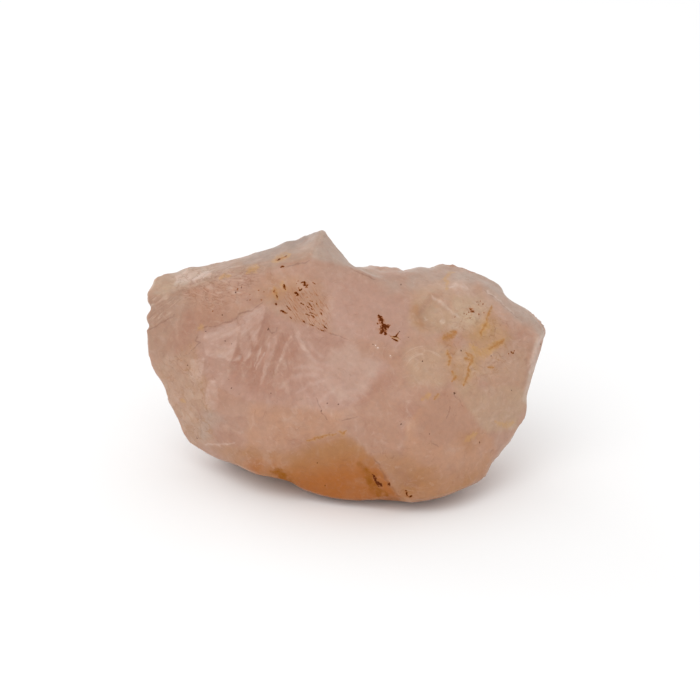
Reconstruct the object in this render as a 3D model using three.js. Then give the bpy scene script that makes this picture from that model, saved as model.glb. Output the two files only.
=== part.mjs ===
// A rough chunk of rose quartz: one solid stone, broken on every side, with a flat face underneath.
// Millimetres, +Z up, +X along the length, -Y towards the broad front fracture.
// The origin is on the plane that the stone rests on, under the middle of its box.

import * as THREE from "three";
import { ImprovedNoise } from "three/addons/math/ImprovedNoise.js";
import { TessellateModifier } from "three/addons/modifiers/TessellateModifier.js";
import { mergeGeometries, mergeVertices } from "three/addons/utils/BufferGeometryUtils.js";

// Driving dimensions
const LENGTH = 60; // the finished stone, end to end
const VIEW_TILT = THREE.MathUtils.degToRad(25); // how far down the eye looked when the front was measured
const LEDGE_STEP = 0.35; // how far the broad fracture lies behind the ledge above it
const LEDGE_DROP = 0.8; // how far the ledge's inner corner lies below its lip

// Surface texture
const TRIANGLE_EDGE = 2.2; // longest edge of a surface triangle
const LUMP_SIZE = 9; // spacing of the broad unevenness
const LUMP_HEIGHT = 0.55;
const CHIP_SIZE = 3.4; // spacing of the small chips along edges and rough faces
const REST_FADE = 3; // height over which the unevenness dies out towards the resting face

// Quartz finish
const ROSE = 0xc9a08f;
const ROSE_ROUGHNESS = 0.4;

// A corner on the front: its place across and up the tilted view, and how far back it lies.
function seen(across, up, back) {
  const height = (up - back * Math.sin(VIEW_TILT)) / Math.cos(VIEW_TILT);
  return new THREE.Vector3(across, back, height);
}

// A corner that the front view hides: across, back and height.
function hidden(across, back, height) {
  return new THREE.Vector3(across, back, height);
}

const corners = {
  // The roof: the narrow top face, from the peak down to the left end
  peak: seen(-3.1, 37.4, 9),
  roofMiddle: seen(-10.6, 34.9, 10),
  roofLeft: seen(-19.0, 32.1, 9),
  leftHorn: seen(-28.5, 30.7, 8),
  leftTip: seen(-29.8, 27.8, 4),
  brow1: seen(-23.0, 28.9, 2.5),
  brow2: seen(-17.7, 30.8, 2),
  brow3: seen(-12.2, 31.7, 2),
  browEnd: seen(-4.8, 32.9, 2),
  peakFoot: seen(4.8, 29.9, 4),
  saddle: seen(1.1, 31.4, 7),

  // The shoulder: the lower, lumpy right half of the top
  rim1: seen(5.1, 31.6, 12),
  rim2: seen(12.6, 31.7, 12),
  rim3: seen(15.4, 32.6, 12),
  rim4: seen(20.0, 30.8, 11),
  rim5: seen(22.9, 29.1, 10),
  rim6: seen(23.5, 26.8, 8),
  rim7: seen(27.3, 25.4, 6),
  rightTip: seen(29.7, 22.3, 3),
  shoulderTop: seen(20.5, 28.9, 7),
  shoulderSide: seen(25.9, 24.4, 3),
  pitTop: seen(12.7, 27.7, 2.4),
  pitRight: seen(16.5, 24.8, 0.8),
  pitLeft: seen(10.2, 26.5, 1),
  pitFoot: seen(9.7, 21.8, -3),
  pitBase: seen(12.7, 21.7, -3),

  // The ledge and the lower border of the rusty patch, above the broad fracture
  ledge0: seen(-21.8, 22.4, -1),
  ledge1: seen(-19.0, 22.9, -1.5),
  ledge2: seen(-16.0, 24.4, -2),
  ledge3: seen(-13.2, 25.6, -2),
  ledge4: seen(-11.5, 26.5, -2),
  patch1: seen(-9.7, 23.5, -2.5),
  patch2: seen(-6.4, 23.0, -3.5),
  patch3: seen(-2.2, 21.8, -4),
  lap1: seen(1.0, 20.6, -5),
  lap2: seen(7.2, 16.9, -7),

  // The left end
  cheekInner: seen(-22.7, 25.1, 1),
  cheek: seen(-29.9, 22.4, 4),
  leftBelly: seen(-29.5, 18.1, 4),
  leftHip: seen(-28.2, 15.3, 4),
  leftFlank: seen(-26.2, 10.6, 3),
  leftHeel: seen(-23.9, 5.2, 3),
  gill1: seen(-22.4, 20.2, -1.5),
  gill2: seen(-24.4, 18.5, -0.5),
  gill3: seen(-26.8, 17.2, 1),
  jaw: seen(-21.7, 15.0, -2.2),
  chin: seen(-21.7, 7.5, -1),

  // The foot of the broad fracture and the undercut below it
  skirt: seen(-13.2, 11.5, -6),
  lapelLeft: seen(-4.5, 10.3, -9),
  lapelRight: seen(-0.3, 9.0, -10.5),
  undercutLeft: seen(-5.7, 6.1, -9.5),
  undercutHeel: seen(-9.9, 2.4, -8.3),
  prowTop: seen(3.1, 3.1, -12.4),
  prowFoot: seen(7.2, -2.1, -12.4),

  // The bottom outline, left to right
  sill1: seen(-19.4, 2.7, -1),
  sill2: seen(-15.0, 1.6, -5.3),
  sill3: seen(-8.7, 0.1, -8),
  sill4: seen(-7.0, -1.4, -8),
  sill5: seen(-2.9, -2.7, -9),
  sill6: seen(3.9, -3.1, -10.5),
  sill7: seen(9.3, -3.3, -12),
  sill8: seen(13.5, -2.7, -12),
  sill9: seen(17.2, -1.2, -10),

  // The smooth lower right face and the right end
  breastTop: seen(15.6, 13.6, -8),
  breastLeft: seen(9.5, 10.2, -11.5),
  breastFoot: seen(8.5, 5.7, -13.2),
  breastRight: seen(19.3, 9.0, -8),
  breastHeel: seen(21.7, 4.5, -6),
  rightHeel: seen(20.4, 0.4, -7),
  rightStep: seen(21.3, 2.2, -5),
  rightHip: seen(24.7, 6.0, -3),
  rightBelly: seen(27.1, 9.1, 0),
  rightWaist: seen(27.2, 12.3, 0),
  rightEdge: seen(28.3, 16.9, 1),
  rightNeck: seen(29.5, 20.6, 2),
  cuff1: seen(28.4, 21.0, 0),
  cuff2: seen(27.4, 16.9, -1.5),
  cuff3: seen(26.3, 12.3, -2),

  // The back: a crooked ridge from the peak to the foot, a shelf on its left and a scoop on its right
  ridgeTop: hidden(-5.5, 14.2, 28.5),
  ridgeKnee: hidden(2.5, 18.8, 18),
  ridgeFoot: hidden(7.5, 16.6, 9),
  shelfOuter: hidden(-25, 8.8, 20),
  shelfInner: hidden(-13, 10.5, 18),
  lipOuter: hidden(-25.5, 12, 15.5),
  lipInner: hidden(-13, 15.6, 14),
  lipFoot: hidden(-8, 16.4, 5),
  leftBase: hidden(-26, 9, 11),
  scoopRight: hidden(16.5, 16.4, 15.5),
  cornerRight: hidden(25.5, 10.5, 17.5),
  kneeRight: hidden(17.5, 12.6, 5.5),
  rightBase: hidden(24.5, 7.5, 9),

  // The flat resting face
  foot1: hidden(-14, 6, 0),
  foot2: hidden(-6, -2, 0),
  foot3: hidden(7, -6.5, 0),
  foot4: hidden(15.5, -3, 0),
  foot5: hidden(19, 4, 0),
  foot6: hidden(12, 11.5, 0),
  foot7: hidden(-2, 13.5, 0),
  foot8: hidden(-12, 12.5, 0),
  foot9: hidden(-16.5, 9.5, 0),
};

// The ledge's inner corners, set back under its lip
const ledgeOffset = new THREE.Vector3(0, LEDGE_STEP, -LEDGE_DROP);
for (const n of [1, 2, 3]) {
  corners[`underLedge${n}`] = corners[`ledge${n}`].clone().add(ledgeOffset);
}

// Each facet: how far its middle swells out (or is scooped, where negative), the height of the chips
// on it, and its corners, counter-clockwise from outside.
const facets = {
  roof: [0.2, 0.25, "brow2 brow3 browEnd peak roofMiddle roofLeft"],
  roofEnd: [0.3, 0.5, "leftTip brow1 brow2 roofLeft leftHorn"],
  peakFace: [0, 0.05, "browEnd peakFoot saddle peak"],
  cheekUpper: [-0.4, 0.5, "leftTip cheek cheekInner brow1"],
  cheekLower: [0.4, 0.2, "cheek leftBelly gill3 gill2 gill1 ledge0 cheekInner"],
  strip: [0.4, 0.35, "cheekInner ledge0 ledge1 ledge2 ledge3 ledge4 brow3 brow2 brow1"],
  ledge: [0, 0.1, "ledge0 underLedge1 underLedge2 underLedge3 ledge4 ledge3 ledge2 ledge1"],
  patch: [0.5, 0.2, "ledge4 patch1 patch2 patch3 browEnd brow3"],
  centre: [0.5, 0.2, "browEnd patch3 lap1 lap2 pitFoot pitLeft peakFoot"],
  shoulderRoof: [0.6, 0.5, "peakFoot pitLeft pitTop shoulderTop rim4 rim3 rim2 rim1 saddle"],
  shoulderEdge: [0.1, 0.2, "shoulderTop shoulderSide rightTip rim7 rim6 rim5 rim4"],
  pit: [-0.4, 0.15, "pitLeft pitFoot pitBase pitRight pitTop"],
  honey: [0.6, 0.5, "breastTop cuff2 cuff1 rightTip shoulderSide shoulderTop pitTop pitRight pitBase"],
  cuff: [0.1, 0.15, "cuff1 cuff2 cuff3 rightWaist rightEdge rightNeck rightTip"],
  cloud: [0.3, 0.2, "breastTop breastRight rightBelly rightWaist cuff3 cuff2"],
  breast: [
    1.4,
    0.15,
    "breastTop breastLeft breastFoot sill7 sill8 sill9 rightHeel breastHeel breastRight",
  ],
  hip: [0.4, 0.3, "breastRight breastHeel rightHeel rightStep rightHip rightBelly"],
  lap: [0.4, 0.25, "lap2 lapelRight prowTop breastFoot breastLeft breastTop pitBase pitFoot"],
  fracture: [
    -0.6,
    0.25,
    "ledge0 gill1 jaw skirt lapelLeft lapelRight lap2 lap1 patch3 patch2 patch1 ledge4 " +
      "underLedge3 underLedge2 underLedge1",
  ],
  gill: [0.2, 0.5, "gill1 gill2 gill3 leftBelly leftHip leftFlank leftHeel chin jaw"],
  apron: [1.0, 0.2, "jaw chin leftHeel sill1 sill2 sill3 undercutHeel undercutLeft lapelLeft skirt"],
  lapel: [0, 0.1, "lapelLeft undercutLeft lapelRight"],
  undercut: [
    0.3,
    0.15,
    "lapelRight undercutLeft undercutHeel sill3 sill4 sill5 sill6 prowFoot prowTop",
  ],
  prow: [0.2, 0.15, "prowTop prowFoot sill7 breastFoot"],

  // Underneath
  underLeft: [0.4, 0.3, "sill2 sill1 leftHeel foot9 foot1"],
  underMiddle: [0.2, 0.3, "sill3 sill2 foot1 foot2"],
  underFront: [0.3, 0.3, "sill7 prowFoot sill6 sill5 sill4 sill3 foot2 foot3"],
  underRight: [0.3, 0.3, "rightHeel sill9 sill8 sill7 foot3 foot4"],
  underEnd: [0.3, 0.3, "rightHip rightStep rightHeel foot4 foot5 rightBase"],
  rest: [0, 0, "foot1 foot9 foot8 foot7 foot6 foot5 foot4 foot3 foot2"],

  // Behind
  backRoof: [-1.5, 0.3, "roofLeft roofMiddle peak ridgeTop ridgeKnee shelfInner shelfOuter leftHorn"],
  backScoop: [-2.2, 0.3, "peak saddle rim1 rim2 rim3 scoopRight ridgeKnee ridgeTop"],
  shelf: [-0.3, 0.3, "shelfOuter shelfInner ridgeKnee lipInner lipOuter"],
  leftEnd: [
    0.8,
    0.4,
    "leftTip leftHorn shelfOuter lipOuter leftBase leftFlank leftHip leftBelly cheek",
  ],
  leftFoot: [0.4, 0.3, "leftHeel leftFlank leftBase foot8 foot9"],
  backLeft: [-0.8, 0.3, "lipOuter lipInner lipFoot leftBase"],
  backLeftFoot: [-0.4, 0.3, "leftBase lipFoot foot7 foot8"],
  backMiddle: [-1.0, 0.3, "lipInner ridgeKnee ridgeFoot lipFoot"],
  backMiddleFoot: [0.4, 0.3, "lipFoot ridgeFoot foot6 foot7"],
  backRight: [-1.2, 0.3, "ridgeKnee scoopRight kneeRight ridgeFoot"],
  backRightFoot: [-0.4, 0.3, "ridgeFoot kneeRight foot5 foot6"],
  backRim: [0.5, 0.4, "rim3 rim4 rim5 cornerRight scoopRight"],
  backEnd: [-0.9, 0.3, "scoopRight cornerRight rightBase kneeRight"],
  backEndFoot: [0.1, 0.3, "kneeRight rightBase foot5"],
  backTip: [0.2, 0.3, "rim5 rim6 rim7 rightTip cornerRight"],
  rightEnd: [
    0.6,
    0.3,
    "rightTip rightNeck rightEdge rightWaist rightBelly rightHip rightBase cornerRight",
  ],
};

const MERGE_GAP = 1e-3; // vertices closer than this are one
const RELAX_ROUNDS = 160;
const TESSELLATE_ROUNDS = 12;
const noise = new ImprovedNoise();
const NOISE_PLACES = [11.3, 47.9, 83.1]; // far-apart places in the noise, one for each direction

// The mean of some points.
function middleOf(points) {
  const sum = points.reduce((total, p) => total.add(p), new THREE.Vector3());
  return sum.divideScalar(points.length);
}

// The outward normal of a loop of corners that needn't be flat.
function loopNormal(loop) {
  const normal = new THREE.Vector3();
  loop.forEach((p, i) => {
    const next = loop[(i + 1) % loop.length];
    normal.add(new THREE.Vector3().crossVectors(p, next));
  });
  return normal.normalize();
}

// The vertices next to each vertex of an indexed mesh, and which vertices lie on its open border.
function neighboursOf(geometry) {
  const index = geometry.index.array;
  const uses = new Map();
  const beside = Array.from({ length: geometry.attributes.position.count }, () => new Set());
  for (let t = 0; t < index.length; t += 3) {
    for (let side = 0; side < 3; side++) {
      const a = index[t + side];
      const b = index[t + ((side + 1) % 3)];
      beside[a].add(b);
      beside[b].add(a);
      const key = a < b ? `${a} ${b}` : `${b} ${a}`;
      uses.set(key, (uses.get(key) ?? 0) + 1);
    }
  }
  const border = new Set();
  for (const [key, count] of uses) {
    if (count === 1) key.split(" ").forEach((v) => border.add(Number(v)));
  }
  return { beside, border };
}

// One facet as a fine mesh: a skin stretched over its border, then blown out or in by its swell.
function facetGeometry([swell, chips, names]) {
  const loop = names.split(" ").map((name) => corners[name]);
  const middle = middleOf(loop);
  const normal = loopNormal(loop);
  const fan = loop.flatMap((p, i) => [p, loop[(i + 1) % loop.length], middle]);
  const coarse = new THREE.BufferGeometry().setFromPoints(fan);
  const fine = new TessellateModifier(TRIANGLE_EDGE, TESSELLATE_ROUNDS).modify(coarse);
  const geometry = mergeVertices(fine, MERGE_GAP);

  const { beside, border } = neighboursOf(geometry);
  const position = geometry.attributes.position;
  const points = Array.from(beside, (_, v) => new THREE.Vector3().fromBufferAttribute(position, v));
  const rise = points.map(() => 0);
  const inner = points.map((_, v) => v).filter((v) => !border.has(v));
  for (let round = 0; round < RELAX_ROUNDS; round++) {
    for (const v of inner) {
      const around = [...beside[v]];
      points[v].copy(middleOf(around.map((n) => points[n])));
      rise[v] = 1 + around.reduce((sum, n) => sum + rise[n], 0) / around.length;
    }
  }
  const highest = Math.max(...rise, 1);
  points.forEach((p, v) => {
    p.addScaledVector(normal, (swell * rise[v]) / highest);
    position.setXYZ(v, p.x, p.y, p.z);
  });
  const chipHeights = new Float32Array(points.length).fill(chips);
  geometry.setAttribute("chips", new THREE.BufferAttribute(chipHeights, 1));
  return geometry;
}

// A random-looking but fixed shift of a point, the same length on average in every direction.
function scatter(p, spacing) {
  const [x, y, z] = p.toArray().map((value) => value / spacing);
  const shifts = NOISE_PLACES.map((place) => noise.noise(x + place, y + 2 * place, z - place));
  return new THREE.Vector3(...shifts);
}

// All facets joined into one closed skin, with the chip height where facets meet averaged.
function joinFacets() {
  const pieces = Object.values(facets).map(facetGeometry);
  const loose = mergeGeometries(pieces.map((g) => g.toNonIndexed()));
  const skin = mergeVertices(
    new THREE.BufferGeometry().setAttribute("position", loose.attributes.position),
    MERGE_GAP,
  );
  const sums = new Float32Array(skin.attributes.position.count);
  const counts = new Float32Array(skin.attributes.position.count);
  skin.index.array.forEach((vertex, i) => {
    sums[vertex] += loose.attributes.chips.array[i];
    counts[vertex] += 1;
  });
  return { skin, chips: sums.map((sum, v) => sum / counts[v]) };
}

// The whole stone: broad unevenness and small chips on the skin, then its real length and place.
function stoneGeometry() {
  const { skin, chips } = joinFacets();
  const position = skin.attributes.position;
  const p = new THREE.Vector3();
  for (let v = 0; v < position.count; v++) {
    p.fromBufferAttribute(position, v);
    const free = THREE.MathUtils.smoothstep(p.z, 0, REST_FADE);
    const lumps = scatter(p, LUMP_SIZE).multiplyScalar(LUMP_HEIGHT * free);
    const chipped = scatter(p, CHIP_SIZE).multiplyScalar(chips[v] * free);
    p.add(lumps).add(chipped);
    position.setXYZ(v, p.x, p.y, p.z);
  }
  skin.computeBoundingBox();
  const size = skin.boundingBox.getSize(new THREE.Vector3());
  const centre = skin.boundingBox.getCenter(new THREE.Vector3());
  skin.translate(-centre.x, -centre.y, -skin.boundingBox.min.z);
  skin.scale(LENGTH / size.x, LENGTH / size.x, LENGTH / size.x);
  skin.computeVertexNormals();
  return skin;
}

const quartz = new THREE.MeshStandardMaterial({ color: ROSE, roughness: ROSE_ROUGHNESS, metalness: 0 });
const stone = new THREE.Mesh(stoneGeometry(), quartz);
stone.name = "quartz_chunk";

const chunk = new THREE.Group();
chunk.add(stone);
export default chunk;
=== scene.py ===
# %% [markdown]
# # A chunk of rose quartz
# One natural stone, broken on every side and resting on a flat face. Its plain solid is already packed,
# so this script only gives it a finished skin: finer broken surfaces, cloudy pink mineral, iron stains,
# and a camera and light like those of the photograph.

# %% Load the packed solid
import math

import bmesh
import bpy
import numpy as np
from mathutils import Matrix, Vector, noise


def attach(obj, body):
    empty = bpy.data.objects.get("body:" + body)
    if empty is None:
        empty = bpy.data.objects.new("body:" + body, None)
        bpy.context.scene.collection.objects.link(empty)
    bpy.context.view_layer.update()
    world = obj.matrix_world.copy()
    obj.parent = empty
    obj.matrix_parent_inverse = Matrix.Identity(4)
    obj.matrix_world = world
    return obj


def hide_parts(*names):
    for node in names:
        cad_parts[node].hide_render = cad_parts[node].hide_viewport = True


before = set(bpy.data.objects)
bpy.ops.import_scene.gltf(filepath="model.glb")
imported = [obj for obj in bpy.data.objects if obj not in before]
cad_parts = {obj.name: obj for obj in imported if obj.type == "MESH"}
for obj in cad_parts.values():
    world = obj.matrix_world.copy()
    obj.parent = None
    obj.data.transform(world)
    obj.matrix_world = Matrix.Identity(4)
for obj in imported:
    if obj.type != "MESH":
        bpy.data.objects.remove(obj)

MM = 0.001
scene = bpy.context.scene
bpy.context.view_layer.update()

# %% [markdown]
# ## The camera
# A long lens looks down on the stone by 25 degrees, as in the photograph. The camera comes first because
# faces, stains and veins are placed by their pixel in the 700 by 700 photograph. Each point of the stone's
# front is projected through this lens once, while the script runs, so the marks stay on the stone from
# every side.

# %% Camera
PHOTO_SIDE = 700
LENS = 180
SENSOR = 36
VIEW_TILT = math.radians(25)
CAMERA_TARGET = Vector((0.70, 1.24, 19.65)) * MM
CAMERA_DISTANCE = 525.2 * MM
PIXELS_PER_MM = LENS / SENSOR * PHOTO_SIDE / (CAMERA_DISTANCE / MM)

view_right = Vector((1, 0, 0))
view_ahead = Vector((0, math.cos(VIEW_TILT), -math.sin(VIEW_TILT)))
view_up = view_right.cross(view_ahead)
eye = CAMERA_TARGET - view_ahead * CAMERA_DISTANCE

camera_data = bpy.data.cameras.new("photo_lens")
camera_data.lens = LENS
camera_data.sensor_width = SENSOR
camera = bpy.data.objects.new("photo_camera", camera_data)
scene.collection.objects.link(camera)
camera.location = eye
camera.rotation_euler = (-view_ahead).to_track_quat("Z", "Y").to_euler()
scene.camera = camera


def photo_pixels(points):
    """Where points in metres (an N by 3 array) land in the photograph, as columns x and y."""
    offset = points - np.array(eye)
    scale = LENS / SENSOR * PHOTO_SIDE / (offset @ np.array(view_ahead))
    across = PHOTO_SIDE / 2 + scale * (offset @ np.array(view_right))
    down = PHOTO_SIDE / 2 - scale * (offset @ np.array(view_up))
    return np.stack([across, down], axis=1)


print("one millimetre on the stone is", round(PIXELS_PER_MM, 2), "pixels")

# %% [markdown]
# ## The stone's skin
# The packed solid has triangles about 2 mm long. A copy is welded, its sharp edges are creased, and a
# Subdivision Surface rounds the faces between them. A voxel Remesh then gives one even skin, fine
# enough for chips and ridges a few tenths of a millimetre across, and a short Smooth settles its edges.

# %% Copy and refine the solid
WELD = 0.001 * MM
SHARP_ANGLE = math.radians(24)
ROUNDING_LEVELS = 2
VOXEL = 0.34 * MM
SETTLE_SHARE = 0.5
SETTLE_ROUNDS = 2


def new_piece(name, mesh):
    """A linked object at the origin, unturned and unscaled."""
    piece = bpy.data.objects.new(name, mesh)
    scene.collection.objects.link(piece)
    return piece


def bake_modifiers(piece):
    """Turns the piece's modifiers into its plain mesh."""
    depsgraph = bpy.context.evaluated_depsgraph_get()
    mesh = bpy.data.meshes.new_from_object(piece.evaluated_get(depsgraph))
    mesh.name = piece.name
    piece.modifiers.clear()
    piece.data = mesh


rough_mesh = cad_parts["quartz_chunk"].data.copy()
work = bmesh.new()
work.from_mesh(rough_mesh)
bmesh.ops.remove_doubles(work, verts=work.verts, dist=WELD)
creases = work.edges.layers.float.new("crease_edge")
for edge in work.edges:
    edge[creases] = 1.0 if edge.calc_face_angle(0) > SHARP_ANGLE else 0.0
work.to_mesh(rough_mesh)
work.free()

stone = new_piece("rose_quartz", rough_mesh)
rounding = stone.modifiers.new("rounding", "SUBSURF")
rounding.levels = rounding.render_levels = ROUNDING_LEVELS
even_skin = stone.modifiers.new("even_skin", "REMESH")
even_skin.mode = "VOXEL"
even_skin.voxel_size = VOXEL
settle = stone.modifiers.new("settle", "SMOOTH")
settle.factor = SETTLE_SHARE
settle.iterations = SETTLE_ROUNDS
bake_modifiers(stone)
print("skin faces:", len(stone.data.polygons))

# %% [markdown]
# ## Drawing on the front
# Faces and stains are drawn as outlines and lines in photograph pixels. `inside` gives a soft mask for an
# outline, `depth_in` a sharper one for a thin plane, and `along` one for a line. All of them end where the
# skin turns away from the camera, so nothing runs round to the back. A little noise bends every outline
# and line, because no boundary on a broken stone is straight. Blender seeds this noise from the clock, so
# a fixed seed keeps the stone the same on every run.

# %% Masks from outlines and lines
NOISE_SEED = 11
noise.seed_set(NOISE_SEED)
TURN_AWAY = (0.05, 0.3)
PAINT_EDGE = (-0.25, 0.1)
TURNED_AWAY = (0.1, 0.5)
WOBBLE_SIZE = 3.0 * MM
WOBBLE_PIXELS = 2.5
JITTER_SIZE = 0.9 * MM
JITTER_PIXELS = 1.5
TAPER_END = 0.35
PLANE_REACH = 6
FAR = 1e9


def smooth_step(values, low, high):
    """0 below low, 1 above high, and an S-curve between them."""
    share = np.clip((values - low) / (high - low), 0, 1)
    return share * share * (3 - 2 * share)


def skin_points(mesh):
    """Vertex places and normals of a mesh, as two N by 3 arrays."""
    places = np.zeros(len(mesh.vertices) * 3)
    normals = np.zeros(len(mesh.vertices) * 3)
    mesh.vertices.foreach_get("co", places)
    mesh.vertices.foreach_get("normal", normals)
    return places.reshape(-1, 3), normals.reshape(-1, 3)


def nearest_on_line(pixels, line):
    """Pixel distance from each point to a line of points, and how far along the line that is, 0 to 1."""
    corners = np.array(line, float)
    lengths = np.hypot(*(corners[1:] - corners[:-1]).T)
    nearest = np.full(len(pixels), FAR)
    along = np.zeros(len(pixels))
    passed = 0.0
    for start, end, length in zip(corners[:-1], corners[1:], lengths):
        share = np.clip((pixels - start) @ (end - start) / length ** 2, 0, 1)
        gap = np.hypot(*(pixels - start - share[:, None] * (end - start)).T)
        along = np.where(gap < nearest, passed + share * length, along)
        nearest = np.minimum(nearest, gap)
        passed += length
    return nearest, along / passed


def depth_inside(pixels, outline):
    """Pixel distance from each point to a closed outline, negative outside it."""
    odd = np.zeros(len(pixels), bool)
    for (x0, y0), (x1, y1) in zip(outline, outline[1:] + outline[:1]):
        if y0 == y1:
            continue
        crosses = (y0 > pixels[:, 1]) != (y1 > pixels[:, 1])
        reach = x0 + (pixels[:, 1] - y0) * (x1 - x0) / (y1 - y0)
        odd ^= crosses & (pixels[:, 0] < reach)
    gap, _ = nearest_on_line(pixels, outline + outline[:1])
    return np.where(odd, gap, -gap)


class Front:
    """The stone's front as the photograph sees it, for drawing masks on a mesh."""

    def __init__(self, mesh):
        self.places, self.normals = skin_points(mesh)
        to_eye = np.array(eye) - self.places
        to_eye /= np.linalg.norm(to_eye, axis=1)[:, None]
        towards_eye = (self.normals * to_eye).sum(1)
        self.facing = smooth_step(towards_eye, *TURN_AWAY)
        self.painted = smooth_step(towards_eye, *PAINT_EDGE)
        self.away = smooth_step(-towards_eye, *TURNED_AWAY)
        self.pixels = photo_pixels(self.places)
        wide = [noise.noise_vector(Vector(p) / WOBBLE_SIZE)[:2] for p in self.places]
        fine = [noise.noise_vector(Vector(p) / JITTER_SIZE)[:2] for p in self.places]
        self.line_pixels = self.pixels + JITTER_PIXELS * np.array(fine)
        self.zone_pixels = self.line_pixels + WOBBLE_PIXELS * np.array(wide)

    def inside(self, outline, fade):
        """1 inside an outline of pixels, 0 outside, over fade pixels to each side."""
        return smooth_step(depth_inside(self.zone_pixels, outline), -fade, fade) * self.painted

    def depth_in(self, outline):
        """How deep inside an outline each point is: 0 on it, 1 or -1 at PLANE_REACH pixels in or out."""
        depth = np.clip(depth_inside(self.line_pixels, outline) / PLANE_REACH, -1, 1)
        return np.where(self.facing > 0, depth, -1)

    def along(self, line, width):
        """1 on a line of pixels, falling evenly to 0 at width pixels from it, with tapered ends."""
        gap, share = nearest_on_line(self.line_pixels, line)
        taper = TAPER_END + (1 - TAPER_END) * np.sqrt(4 * share * (1 - share))
        return np.clip(1 - gap / (width * taper), 0, 1) * self.facing


front = Front(stone.data)
print("points that face the camera:", int((front.facing > 0).sum()))

# %% [markdown]
# ## Rust
# Iron seeped into this stone along its cracks and dried as rust: one dark blot with a few thin strokes
# beside it, a patch of curls and short dashes, and scattered dots. Each mark is a line of pixels with a
# width in pixels. Drawn lines put every mark where the photograph has it, which noise can't do.

# %% Rust marks
DOT_WIDTH = 2.0
DASH_WIDTH = 1.3
RUST_BLOTS = {
    "blot core": (13, [(383, 325), (384, 328)]),
    "blot heel": (6, [(382, 329), (382, 333)]),
    "blot toe": (4.5, [(384, 333), (386, 334)]),
    "blot middle": (6, [(384, 328), (387, 330)]),
    "blot right": (5, [(387, 325), (389, 328)]),
    "blot spike": (4.5, [(379, 315), (380, 319), (383, 324)]),
    "blot speck": (2.6, [(377, 323), (378, 324)]),
    "patch top": (3.2, [(284, 284), (286, 290)]),
    "curl upper": (2.8, [(301, 283), (304, 282), (304, 285), (307, 285), (305, 288)]),
    "curl middle": (2.2, [(298, 288), (300, 290), (302, 288)]),
    "curl lower": (2.4, [(294, 292), (297, 293), (298, 295), (295, 296)]),
    "patch side": (2, [(274, 290), (275, 293)]),
    "patch side right": (1.8, [(276, 295), (277, 298)]),
    "patch side lower": (2.6, [(276, 303), (276, 305)]),
    "patch heel": (2.4, [(281, 310), (284, 313), (287, 313)]),
    "patch foot": (2.4, [(304, 320), (305, 322)]),
    "shoulder fleck": (3.4, [(471, 308), (472, 311), (474, 313)]),
    "right flecks": (3.2, [(512, 352), (514, 354)]),
    "prow streak": (3.4, [(372, 474), (377, 481), (383, 487)]),
    "prow streak inner": (2.8, [(375, 480), (379, 486)]),
    "prow spot": (3.8, [(387, 483), (391, 485)]),
    "bottom streak": (2.4, [(405, 490), (407, 495), (410, 497)]),
    "bottom streak right": (2.2, [(410, 497), (413, 495)]),
    "brow stain": (2.8, [(281, 268), (285, 266)]),
    "roof stain": (2.4, [(277, 260), (280, 258)]),
    "roof stain right": (2, [(284, 256), (286, 255)]),
}
RUST_DOTS = [
    (455, 318), (458, 314), (461, 322), (463, 313), (466, 314), (469, 313), (470, 318), (477, 302),
    (479, 305), (481, 301), (483, 304), (478, 314), (484, 313), (509, 354), (515, 351), (258, 290),
    (263, 292), (250, 295), (262, 299), (222, 315), (237, 288), (241, 287), (250, 300), (212, 311),
    (298, 281), (297, 284),
]
RUST_DASHES = [
    [(301, 302), (304, 306)], [(308, 297), (309, 298)], [(310, 300), (313, 303)], [(308, 302), (312, 307)],
    [(306, 306), (310, 308)], [(311, 308), (313, 310)], [(316, 303), (317, 305)], [(320, 309), (325, 313)],
    [(319, 312), (323, 316)], [(305, 313), (309, 316)], [(310, 315), (314, 318)], [(309, 323), (315, 327)],
    [(317, 328), (319, 329)], [(320, 329), (324, 331)], [(324, 324), (327, 329)], [(323, 320), (325, 322)],
    [(286, 306), (291, 311)], [(309, 312), (317, 317)], [(290, 317), (292, 319)], [(312, 282), (316, 284)],
    [(388, 334), (397, 338)], [(394, 336), (401, 340)], [(392, 338), (398, 342)], [(398, 333), (395, 338)],
]
RUST_STROKES = [*RUST_BLOTS.values(), *[(DASH_WIDTH, line) for line in RUST_DASHES]]
print("rust strokes and dots:", len(RUST_STROKES) + len(RUST_DOTS))

# %% [markdown]
# ## Veins and smears
# Thinner iron stain dries as honey veins and soft golden smears. They are drawn like the rust, as wider
# lines, and the finish later gives each group its own colour and raggedness.

# %% Veins and smears
HONEY_VEINS = {
    "long vein": (4.5, [(492, 306), (489, 315), (486, 323), (480, 336)]),
    "vein low left": (4.5, [(451, 371), (455, 377), (452, 382)]),
    "vein low right": (5, [(469, 366), (468, 375), (464, 385)]),
    "vein branch": (6, [(464, 358), (472, 362)]),
    "vein net": (4.5, [(447, 350), (450, 358), (449, 366)]),
    "vein net right": (5, [(466, 353), (472, 358), (470, 366)]),
    "vein right": (4.5, [(487, 367), (494, 368)]),
    "honey smear": (7, [(504, 340), (496, 345), (489, 349)]),
    "brown smear": (9, [(443, 338), (449, 335), (456, 332)]),
    "lap mark": (3.6, [(434, 399), (439, 394)]),
    "patch side": (5, [(273, 287), (276, 293), (277, 299)]),
    "roof stain": (5, [(276, 260), (281, 258), (287, 256)]),
    "lapel": (3, [(306, 441), (320, 437), (336, 434)]),
    "lapel hook": (3.4, [(337, 431), (343, 434), (347, 430)]),
}
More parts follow.
